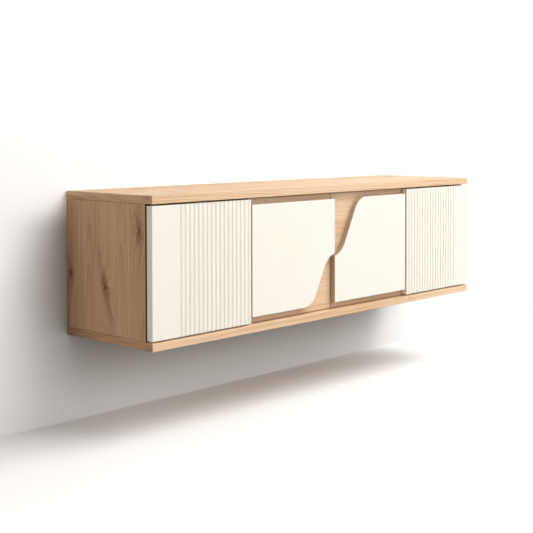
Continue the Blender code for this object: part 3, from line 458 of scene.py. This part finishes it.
def lacquer(name, edge_shade_colour=None):
    """Cream satin lacquer with a faint sprayed texture; its edges may be given a painted shade, warm as if
    lit by light thrown back from the oak.
    """
    s = Shader(name, roughness=0.38, specular=0.4)
    place = s.object_place()
    cloud = s.noise(place, CLOUDING, 3.0)
    colour = s.mix(cloud, CREAM_LIGHT, CREAM_DARK)
    # painted shade: faces that look neither to the front nor to the back turn a warm brown, varied by a
    # streaky noise
    if edge_shade_colour:
        facing = s.math("ABSOLUTE", s.object_normal()[1])
        on_edge = s.remap(facing, 0.75, 0.35, smooth=True)
        fibres = s.stretched_noise(place, EDGE_SHADE_NOISE, 3.0)
        edge = s.mix(fibres, edge_shade_colour, PLATE_EDGE_SHADE_LIGHT)
        colour = s.mix(on_edge, colour, edge)
    spray = s.noise(place, SPRAY, 2.0)
    ripple = s.noise(place, ORANGE_PEEL, 1.0)
    height = s.add(s.times(spray, 0.35), s.times(ripple, 0.65))
    roughness = s.remap(s.add(cloud, s.times(spray, 0.4)), 0.3, 1.0, 0.34, 0.46)
    return s.finish(colour, roughness, s.bump(height, 0.12, 0.05 * MM))


def plated(name, light, dark, roughness):
    """Plated steel with fine brushing and faint stains."""
    s = Shader(name, roughness=roughness, metallic=1.0)
    place = s.object_place()
    lines = s.noise(place, BRUSHING, 3.0)
    stain = s.noise(place, STAINS, 3.0, 0.6)
    colour = s.mix(s.add(s.times(stain, 0.7), s.times(lines, 0.3)), light, dark)
    rough = s.remap(s.add(lines, stain), 0.6, 1.4, roughness - 0.08, roughness + 0.14)
    return s.finish(colour, rough, s.bump(lines, 0.2, 0.03 * MM))


def moulded(name, light, dark):
    """Moulded plastic with a fine spark-eroded grain."""
    s = Shader(name, specular=0.45)
    place = s.object_place()
    grain = s.noise(place, SPARK_GRAIN, 2.0)
    cloud = s.noise(place, MOTTLING, 2.0)
    colour = s.mix(cloud, light, dark)
    return s.finish(colour, s.remap(grain, 0.3, 0.7, 0.44, 0.6), s.bump(grain, 0.25, 0.04 * MM))


def sintered(name):
    """Dark pressed magnet material with fine specks."""
    s = Shader(name, roughness=0.55, specular=0.5)
    place = s.object_place()
    speck = s.noise(place, SPECKS, 3.0)
    colour = s.mix(speck, linear(44, 44, 47), linear(78, 77, 80))
    return s.finish(colour, s.remap(speck, 0.3, 0.7, 0.4, 0.6), s.bump(speck, 0.3, 0.04 * MM))


CREAM = lacquer("cream_lacquer")
# the front plates' edges get the painted shade
PLATE_CREAM = lacquer("cream_lacquer_plate", PLATE_EDGE_SHADE_DARK)
NICKEL = plated("nickel_plate", linear(214, 211, 206), linear(178, 176, 172), 0.3)
ZINC = plated("zinc_plate", linear(196, 198, 200), linear(150, 153, 158), 0.4)
PLASTIC = moulded("grey_plastic", linear(176, 175, 172), linear(160, 160, 158))
MAGNET = sintered("magnet")

# place along and across the wood, radius, push on the grain, and lean
SIDE_KNOTS = (
    (-0.026, -0.258, 0.0095, 0.022, 0.05),
    (-0.136, -0.016, 0.0095, 0.016, 0.0),
    (-0.155, -0.141, 0.0105, -0.026, 0.30),
)
# Painted shade: the side panels are made much darker all over than the other boards of the same oak, and
# the banded ends of the top and bottom panels darker than their faces.
OAK_BOARDS = {
    "top_panel": oak(
        "oak_top", "xyz", "yzx", 1.0, 0.1, 0.02,
        tone_and_shade=0.15, seam=0.4, painted_end_shade=0.34, contrast=1.35, lip_from=1.6,
    ),
    "bottom_panel": oak(
        "oak_bottom", "xyz", "yzx", 2.0, 0.1, 0.05,
        tone_and_shade=0.04, seam=0.4, painted_end_shade=0.66, contrast=1.35, lip_from=4.3, wall_shade=True,
    ),
    "left_side_panel": oak(
        "oak_left_side", "zyx", "yxz", 3.0, 0.1132, 0.124, SIDE_KNOTS, 0.50,
        figure=1.5, contrast=0.95, strips=-0.10, gap_shade=1.0, wall_shade=True,
    ),
    "right_side_panel": oak(
        "oak_right_side", "zyx", "yxz", 4.0, 0.1132, 0.06, tone_and_shade=0.40, gap_shade=1.0, wall_shade=True,
    ),
    "left_divider": oak("oak_left_divider", "zyx", "yxz", 5.0, 0.12, 0.03, tone_and_shade=0.1, gap_shade=0.7),
    "right_divider": oak("oak_right_divider", "zyx", "yxz", 6.0, 0.12, 0.07, tone_and_shade=0.1, gap_shade=0.7),
    "left_shelf": oak("oak_left_shelf", "xyz", "yzx", 7.0, 0.11, 0.01),
    "right_shelf": oak("oak_right_shelf", "xyz", "yzx", 8.0, 0.11, 0.04),
    "top_hanging_rail": oak("oak_top_rail", "xzy", "zyx", 9.0, 0.2, 0.07),
    "bottom_rail": oak("oak_bottom_rail", "xzy", "zyx", 10.0, 0.2, 0.05),
    "back_panel": oak("oak_back", "xzy", "zyx", 11.0, 0.14, 0.02, tone_and_shade=0.1, figure=0.7),
    "middle_left_door_leaf": oak(
        "oak_left_leaf", "xzy", "zyx", 12.0, 0.36, 0.33, tone_and_shade=0.08, seam=0.0, contrast=1.05, shaded_creases=True,
    ),
    "middle_right_door_leaf": oak(
        "oak_right_leaf", "xzy", "zyx", 13.0, 0.36, 0.40, seam=0.0, contrast=1.05, shaded_creases=True,
    ),
}
FINISHES = {
    "cream_lacquer": CREAM,
    "nickel_plated_steel": NICKEL,
    "zinc_plated_steel": ZINC,
    "grey_plastic": PLASTIC,
    "magnet": MAGNET,
}


def dress(obj, material):
    if obj.material_slots:
        for slot in obj.material_slots:
            slot.material = material
    else:
        obj.data.materials.append(material)


slots = {row["node"]: row["material_slot"] for row in frame["record"]["subparts"]}
for name, obj in frame["nodes"].items():
    if name in OAK_BOARDS:
        dress(obj, OAK_BOARDS[name])
    elif name.endswith("front_plate"):
        dress(obj, PLATE_CREAM)
    else:
        dress(obj, FINISHES[slots[name]])


# Small fittings


# sizes that place the holes and pockets in the solids; the wings' are shares of a cup's radius
JOINT_GAP = 0.3 * MM
FLANGE_LAP = 2 * MM
WING_SHIFT = 0.45
WING_REACH = 1.62
WING_SCREW_REACH = 1.36
MOUNT_SCREW_REACH = 16 * MM
CHANNEL_FLOOR = 1.5 * MM
LATCH_FOOT_HEIGHT = 3.4 * MM
LATCH_SCREW_REACH = 14 * MM
STRIKE_SCREW_REACH = 12 * MM
CATCH_SCREW_REACH = 25 * MM
CATCH_STRIKE_SCREW = 9.5 * MM
CAM_INSET = 34 * MM
CAM_FROM_FRONT = 110 * MM
CAM_FROM_WALL = 60 * MM

# small gaps that keep two faces from lying in one plane
LIFT = 0.02 * MM
ADJUSTER_LIFT = 0.05 * MM

ADJUSTER_SHANK = 1.3 * MM
ADJUSTER_SHARES = (0.34, 0.74)
PLATE_SCREW_SHARES = ((0.24, 0.10), (0.24, 0.92), (0.52, 0.13), (0.91, 0.92), (0.91, 0.59))

# how finely round shapes are divided
SCREW_STEPS = 20
CAM_STEPS = 32
HEAD_DEGREES = (75, 60, 45, 30, 15)
SHARP_ANGLE = math.radians(35)

# shares of a screw head's height
RIM_HEIGHT = 0.45
CROWN_HEIGHT = 0.55
RIM_FOOT = 0.3
CROSS_TOP = 1.4
CROSS_BOTTOM = 0.15

# shares of its radius
RIM_TUCK = 0.97
CROSS_WIDTH = 0.28
CROSS_LENGTH = 1.25

# what is left of a cross recess's length and width at its bottom
TIP_LENGTH = 0.45
TIP_WIDTH = 0.7

# a cam lock, and the width, length, top and bottom of its cross
CAM_RADIUS = 7.2 * MM
CAM_LENGTH = 12 * MM
CAM_DISH = 0.9 * MM
CAM_FACE = 0.3 * MM
CAM_CHAMFER = 0.6 * MM
CAM_CROSS = (1.5 * MM, 7.4 * MM, 1 * MM, -4.5 * MM)

WAYS = (("low", -1), ("high", 1))
SIDES = (("left", -1), ("right", 1))


def turned_mesh(name, profile, steps):
    """(radius, height) points turned round Z; the first and last lie on the axis."""
    bm = bmesh.new()
    rings = []
    for radius, height in profile:
        if radius == 0:
            rings.append([bm.verts.new((0, 0, height))])
            continue
        turn = [2 * math.pi * step / steps for step in range(steps)]
        rings.append([bm.verts.new((radius * math.cos(a), radius * math.sin(a), height)) for a in turn])
    for upper, lower in zip(rings, rings[1:]):
        for step in range(steps):
            after = (step + 1) % steps
            corners = [upper[step % len(upper)], upper[after % len(upper)],
                       lower[after % len(lower)], lower[step % len(lower)]]
            unique = [v for i, v in enumerate(corners) if v not in corners[:i]]
            bm.faces.new(unique)
    bmesh.ops.recalc_face_normals(bm, faces=bm.faces)
    mesh = bpy.data.meshes.new(name)
    bm.to_mesh(mesh)
    bm.free()
    mesh.shade_smooth()
    mesh.set_sharp_from_angle(angle=SHARP_ANGLE)
    return mesh


def cross_cutter(width, length, top, bottom):
    """Two tapered blades at right angles, the shape of a cross-head driver's tip."""
    bm = bmesh.new()
    for turn in (0, math.pi / 2):
        made = bmesh.ops.create_cube(bm, size=1.0)["verts"]
        for vert in made:
            upper = vert.co.z > 0
            vert.co.x *= length * (1.0 if upper else TIP_LENGTH)
            vert.co.y *= width * (1.0 if upper else TIP_WIDTH)
            vert.co.z = top if upper else bottom
        bmesh.ops.rotate(bm, verts=made, cent=(0, 0, 0), matrix=Matrix.Rotation(turn, 3, "Z"))
    bmesh.ops.recalc_face_normals(bm, faces=bm.faces)
    mesh = bpy.data.meshes.new("cross")
    bm.to_mesh(mesh)
    bm.free()
    return mesh


def carved(mesh, cutter_mesh):
    """The mesh with the cutter's shape taken out of it."""
    piece = bpy.data.objects.new("carving", mesh)
    cutter = bpy.data.objects.new("cutter", cutter_mesh)
    for obj in (piece, cutter):
        bpy.context.scene.collection.objects.link(obj)
    boolean = piece.modifiers.new("cross", "BOOLEAN")
    boolean.object = cutter
    boolean.solver = "EXACT"
    boolean.use_self = True
    depsgraph = bpy.context.evaluated_depsgraph_get()
    result = bpy.data.meshes.new_from_object(piece.evaluated_get(depsgraph))
    for obj in (piece, cutter):
        bpy.data.objects.remove(obj, do_unlink=True)
    result.name = mesh.name
    return result


def screw_mesh(name, radius, height, shank=1.5 * MM, reach=2.2 * MM):
    """A pan head standing on z = 0, its cross recess, and the start of its shank."""
    profile = [(0, height)]
    for degrees in HEAD_DEGREES:
        angle = math.radians(degrees)
        rise = RIM_HEIGHT + CROWN_HEIGHT * math.sin(angle)
        profile.append((radius * math.cos(angle), height * rise))
    profile += [(radius, height * RIM_FOOT), (radius * RIM_TUCK, 0)]
    profile += [(shank, 0), (shank, -reach), (0, -reach)]
    body = turned_mesh(name, profile, SCREW_STEPS)
    cross = (radius * CROSS_WIDTH, radius * CROSS_LENGTH, height * CROSS_TOP, height * CROSS_BOTTOM)
    return carved(body, cross_cutter(*cross))


def cam_mesh():
    """A cam lock: a disc with a dished face and a cross recess."""
    profile = (
        (0, -CAM_DISH),
        (CAM_RADIUS * 0.62, -CAM_DISH),
        (CAM_RADIUS * 0.70, -CAM_FACE),
        (CAM_RADIUS * 0.95, -CAM_FACE),
        (CAM_RADIUS, -CAM_CHAMFER),
        (CAM_RADIUS, -CAM_LENGTH),
        (0, -CAM_LENGTH),
    )
    return carved(turned_mesh("cam_lock", profile, CAM_STEPS), cross_cutter(*CAM_CROSS))


def place_piece(name, mesh, material, place, direction, body, turn=0.0):
    """Another copy of a small piece, its Z axis along direction. It is turned about that axis, so
    that the recesses don't all stand alike."""
    obj = bpy.data.objects.new(name, mesh)
    bpy.context.scene.collection.objects.link(obj)
    aim = Vector((0, 0, 1)).rotation_difference(Vector(direction)).to_matrix().to_4x4()
    obj.matrix_world = Matrix.Translation(Vector(place)) @ aim @ Matrix.Rotation(turn, 4, "Z")
    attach(obj, body)
    if not mesh.materials:
        mesh.materials.append(material)


SCREW = screw_mesh("pan_screw", 3.3 * MM, 1.7 * MM)
SMALL_SCREW = screw_mesh("small_screw", 2.7 * MM, 1.2 * MM, 1.3 * MM, 1.4 * MM)
ADJUSTER = screw_mesh("adjusting_screw", 2.9 * MM, 2.2 * MM, 2.2 * MM, 1.2 * MM)
CAM = cam_mesh()


def middle(low, high):
    return (low + high) / 2


def add_hinge_screws(door, side):
    """Two screws in each cup's flange, and two screws and two adjusting screws on its mounting."""
    inward = 1 if side == "left" else -1
    for place in ("lower", "upper"):
        prefix = f"{door}_{place}_hinge"
        low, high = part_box(prefix + "_cup")
        radius = (high.z - low.z) / 2 / WING_REACH
        far = high.x if inward > 0 else low.x
        x = far - inward * (radius + FLANGE_LAP) + inward * radius * WING_SHIFT
        for label, way in WAYS:
            z = middle(low.z, high.z) + way * radius * WING_SCREW_REACH
            place_piece(f"{prefix}_cup_screw_{label}", SCREW, ZINC, (x, high.y + LIFT, z), (0, 1, 0),
                        door, 0.4 * way)
        low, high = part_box(prefix + "_mount")
        face = high.x if inward > 0 else low.x
        for label, way in WAYS:
            z = middle(low.z, high.z) + way * MOUNT_SCREW_REACH
            place_piece(f"{prefix}_mount_screw_{label}", SCREW, ZINC,
                        (face + inward * LIFT, middle(low.y, high.y), z), (inward, 0, 0), "carcass",
                        0.7 + way)
        seat = face + inward * (JOINT_GAP + CHANNEL_FLOOR + ADJUSTER_LIFT)
        for index, share in enumerate(ADJUSTER_SHARES):
            y = low.y + (high.y - low.y) * share
            place_piece(f"{prefix}_adjuster_{index + 1}", ADJUSTER, NICKEL,
                        (seat + inward * ADJUSTER_SHANK, y, middle(low.z, high.z)), (inward, 0, 0),
                        "carcass", 0.3 + index)


def add_latch_screws(side):
    """Two screws in the latch's foot and two in the strike plate on the door."""
    inward = -1 if side == "left" else 1
    low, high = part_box(side + "_latch_housing")
    foot = high.x if side == "left" else low.x
    x = foot + inward * (LATCH_FOOT_HEIGHT + LIFT)
    for label, way in WAYS:
        place = (x, middle(low.y, high.y), middle(low.z, high.z) + way * LATCH_SCREW_REACH)
        place_piece(f"{side}_latch_screw_{label}", SMALL_SCREW, ZINC, place, (inward, 0, 0), "carcass",
                    way)
    low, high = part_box(side + "_door_strike")
    for label, way in WAYS:
        z = middle(low.z, high.z) + way * STRIKE_SCREW_REACH
        place = (middle(low.x, high.x), high.y + LIFT, z)
        place_piece(f"{side}_strike_screw_{label}", SMALL_SCREW, ZINC, place, (0, 1, 0), side + "_door",
                    0.5 * way)


def add_catch_screws():
    """Two screws up through the catch and two in each of its strike plates."""
    low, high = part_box("middle_catch")
    for label, way in SIDES:
        place = (way * CATCH_SCREW_REACH, middle(low.y, high.y), low.z - LIFT)
        place_piece(f"catch_screw_{label}", SMALL_SCREW, ZINC, place, (0, 0, -1), "carcass",
                    way)
    for side, _ in SIDES:
        low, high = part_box(f"middle_{side}_door_strike")
        for label, way in SIDES:
            x = middle(low.x, high.x) + way * CATCH_STRIKE_SCREW
            place = (x, high.y + LIFT, middle(low.z, high.z))
            place_piece(f"middle_{side}_strike_screw_{label}", SMALL_SCREW, ZINC, place, (0, 1, 0),
                        f"middle_{side}_door", 0.8 * way)


def add_plate_screws(side):
    """Five screws through each leaf's back into its front plate."""
    low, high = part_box(f"middle_{side}_door_leaf")
    for index, (run, rise) in enumerate(PLATE_SCREW_SHARES):
        if side == "left":
            x, z = low.x + (high.x - low.x) * run, low.z + (high.z - low.z) * rise
        else:
            x, z = high.x - (high.x - low.x) * run, high.z - (high.z - low.z) * rise
        place_piece(f"middle_{side}_plate_screw_{index + 1}", SCREW, ZINC, (x, high.y + LIFT, z), (0, 1, 0),
                    f"middle_{side}_door", index)


def add_cams():
    """Cam locks in the pockets of the side panels and dividers."""
    front = cad_box[0][1] + CAM_FROM_FRONT
    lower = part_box("bottom_panel")[1].z + CAM_INSET
    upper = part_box("top_panel")[0].z - CAM_INSET
    for side, sign in SIDES:
        for board, way in ((side + "_side_panel", -sign), (side + "_divider", sign)):
            low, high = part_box(board)
            face = high.x if way > 0 else low.x
            for row, y in (("front", front), ("rear", -CAM_FROM_WALL)):
                for level, z, turn in (("lower", lower, 0.3), ("upper", upper, 1.2)):
                    place_piece(f"{board}_cam_{row}_{level}", CAM, ZINC, (face, y, z), (way, 0, 0),
                                "carcass", turn)


for side, _ in SIDES:
    add_hinge_screws(f"{side}_door", side)
    add_hinge_screws(f"middle_{side}_door", side)
    add_latch_screws(side)
    add_plate_screws(side)
add_catch_screws()
add_cams()


# Wall and floor


# each plane reaches this far from its middle
ROOM = 8.0

WALL_PLACE = 0.5 * MM
FLOOR_LEVEL = -0.478
WALL_WHITE = 1.03
FLOOR_WHITE = 1.12
DULLED = 0.985
SHONE_BACK = (0.42, 0.42, 0.42, 1)
BACKDROP = (0.98, 0.98, 0.98, 1)
FADE_START = 1.9
FADE_END = 2.9
CONTACT_REACH = 0.19
CONTACT_STRENGTH = 1.22
CONTACT_TOP = 0.04
CONTACT_BOTTOM = -0.04


def contact_shade(s, height):
    """Ambient occlusion close to the cabinet, up to the height of its top. What the floor alone
    takes is given back: in units of the reach, that is a segment of the unit disc."""
    rise = s.math("MINIMUM", s.times(s.add(height, -FLOOR_LEVEL), 1 / CONTACT_REACH), 1.0)
    half_chord = s.math("SQRT", s.math("SUBTRACT", 1.0, s.times(rise, rise)))
    segment = s.math("SUBTRACT", s.math("ARCCOSINE", rise), s.times(rise, half_chord))
    closed = s.add(s.add(s.openness(CONTACT_REACH, 16), s.times(segment, 1 / math.pi)), -1.0)
    strength = s.remap(height, CONTACT_TOP, CONTACT_BOTTOM, 0.0, CONTACT_STRENGTH, smooth=True)
    return s.math("MULTIPLY_ADD", closed, strength, 1.0)


def painted(name, whiteness, contact=False):
    """Flat white paint. It is seen from the front only, so that a view from behind isn't blocked,
    and the camera sees it whiter than it shines back on the cabinet. Far away it runs out into the
    white backdrop."""
    s = Shader(name, roughness=0.9, specular=0.1)
    place = s.object_place()
    dull = whiteness * DULLED
    seen = s.mix(s.noise(place, 3.0, 3.0), (whiteness, whiteness, whiteness, 1), (dull, dull, dull, 1))
    position = s.node("ShaderNodeNewGeometry").outputs["Position"]
    if contact:
        seen = s.darkened(seen, contact_shade(s, s.split(position)[2]))
    path = s.light_path()
    in_view = s.larger(path["Is Camera Ray"], path["Is Glossy Ray"])
    s.finish(s.mix(in_view, SHONE_BACK, seen), None, s.bump(s.noise(place, 300.0, 3.0), 0.1, 0.1 * MM))

    away = s.node("ShaderNodeVectorMath", {0: position}, operation="LENGTH").outputs["Value"]
    fade = s.times(in_view, s.remap(away, FADE_START, FADE_END, smooth=True))
    backdrop = s.node("ShaderNodeEmission", {"Color": BACKDROP}).outputs[0]
    clear = s.node("ShaderNodeBsdfTransparent").outputs[0]
    behind = s.node("ShaderNodeNewGeometry").outputs["Backfacing"]
    near = s.mix_shaders(fade, s.bsdf.outputs[0], backdrop)
    s.feed(s.tree.nodes["Material Output"].inputs["Surface"], s.mix_shaders(behind, near, clear))
    return s.material


def add_plane(name, centre, normal, size, material):
    bm = bmesh.new()
    bmesh.ops.create_grid(bm, x_segments=2, y_segments=2, size=size)
    mesh = bpy.data.meshes.new(name)
    bm.to_mesh(mesh)
    bm.free()
    obj = bpy.data.objects.new(name, mesh)
    bpy.context.scene.collection.objects.link(obj)
    aim = Vector((0, 0, 1)).rotation_difference(Vector(normal)).to_matrix().to_4x4()
    obj.matrix_world = Matrix.Translation(Vector(centre)) @ aim
    mesh.materials.append(material)


wall_paint = painted("wall_paint", WALL_WHITE, contact=True)
add_plane("wall", (0, WALL_PLACE, FLOOR_LEVEL + ROOM), (0, -1, 0), ROOM, wall_paint)
floor_paint = painted("floor_paint", FLOOR_WHITE)
add_plane("floor", (0, WALL_PLACE - ROOM, FLOOR_LEVEL), (0, 0, 1), ROOM, floor_paint)


# Light


def add_softbox(name, target, distance, azimuth, elevation, width, height, power, colour):
    """A soft rectangle of light; azimuth counts from straight in front towards the right."""
    data = bpy.data.lights.new(name, "AREA")
    data.shape = "RECTANGLE"
    data.size = width
    data.size_y = height
    data.energy = power
    data.color = colour
    light = bpy.data.objects.new(name, data)
    bpy.context.scene.collection.objects.link(light)
    turn, rise = math.radians(azimuth), math.radians(elevation)
    aim = Vector((-math.cos(rise) * math.sin(turn), math.cos(rise) * math.cos(turn), -math.sin(rise)))
    light.location = Vector(target) - aim * distance
    light.rotation_mode = "QUATERNION"
    light.rotation_quaternion = aim.to_track_quat("-Z", "Y")
    return light


WHITE = (1.0, 1.0, 1.0)
WARM = (1.0, 0.92, 0.86)
MIDDLE = (0, -0.15, -0.12)
add_softbox("key", MIDDLE, 3.6, 30, 51, 3.0, 2.2, 112, WHITE)
add_softbox("front_fill", MIDDLE, 4.0, 0, 20, 3.0, 1.5, 42, WHITE)
add_softbox("low_fill", MIDDLE, 4.0, 40, 10, 3.0, 1.5, 15, WHITE)
add_softbox("right_fill", MIDDLE, 4.0, 70, 30, 2.0, 2.0, 26, WHITE)
add_softbox("left_fill", MIDDLE, 3.0, -70, 12, 1.6, 1.6, 13, WARM)

# The wall would keep the cabinet's back dark. This lamp stands straight behind it and is smaller
# than it, so that it reaches no other side, and only the cabinet takes and blocks its light.
BACK_MIDDLE = (0, 0, middle(cad_box[0][2], cad_box[1][2]))
back_lamp = add_softbox("back_light", BACK_MIDDLE, 3.0, 180, 0, 1.0, 0.25, 40, WHITE)
lit = bpy.data.collections.new("lit_from_behind")
for obj in bpy.context.scene.objects:
    if obj.type == "MESH" and obj.name not in ("wall", "floor"):
        lit.objects.link(obj)
back_lamp.light_linking.receiver_collection = lit
back_lamp.light_linking.blocker_collection = lit

# dim light from all round, brighter from above, and the backdrop where the camera sees past the room
BLACK = (0.0, 0.0, 0.0, 1)
OVERHEAD = (0.12, 0.11, 0.10, 1)
world = bpy.data.worlds.new("studio")
bpy.context.scene.world = world
world.use_nodes = True
sky = Nodes(world.node_tree)
height = sky.split(sky.node("ShaderNodeTexCoord").outputs["Generated"])[2]
fill = sky.ramp(sky.remap(height, -1.0, 1.0), ((0.0, BLACK), (1.0, OVERHEAD)))
colour = sky.mix(sky.light_path()["Is Camera Ray"], fill, BACKDROP)
sky.feed(sky.tree.nodes["Background"].inputs["Color"], colour)


# Camera


# Fitted to the cabinet's corners. Lengths in the image are in pixels of a frame this wide and high,
# the place is in metres, and the angles are in radians.
FRAME_SIZE = 533
FOCAL_LENGTH = 1068.24
AXIS_ROW = 164.06
SENSOR_WIDTH = 36
CAMERA_PLACE = (-2.0578, -2.0072, 0.1847)
YAW = 0.8138
PITCH = 0.0294
ROLL = -0.0017
camera_data = bpy.data.cameras.new("camera")
camera_data.lens = FOCAL_LENGTH / FRAME_SIZE * SENSOR_WIDTH
camera_data.sensor_width = SENSOR_WIDTH
camera_data.shift_y = (AXIS_ROW - FRAME_SIZE / 2) / FRAME_SIZE
camera_data.clip_end = 100
camera = bpy.data.objects.new("camera", camera_data)
bpy.context.scene.collection.objects.link(camera)
turn = Matrix.Rotation(-YAW, 4, "Z")
turn @= Matrix.Rotation(math.pi / 2 - PITCH, 4, "X")
turn @= Matrix.Rotation(ROLL, 4, "Z")
camera.matrix_world = Matrix.Translation(CAMERA_PLACE) @ turn
bpy.context.scene.camera = camera
bpy.context.scene.view_settings.view_transform = "Standard"
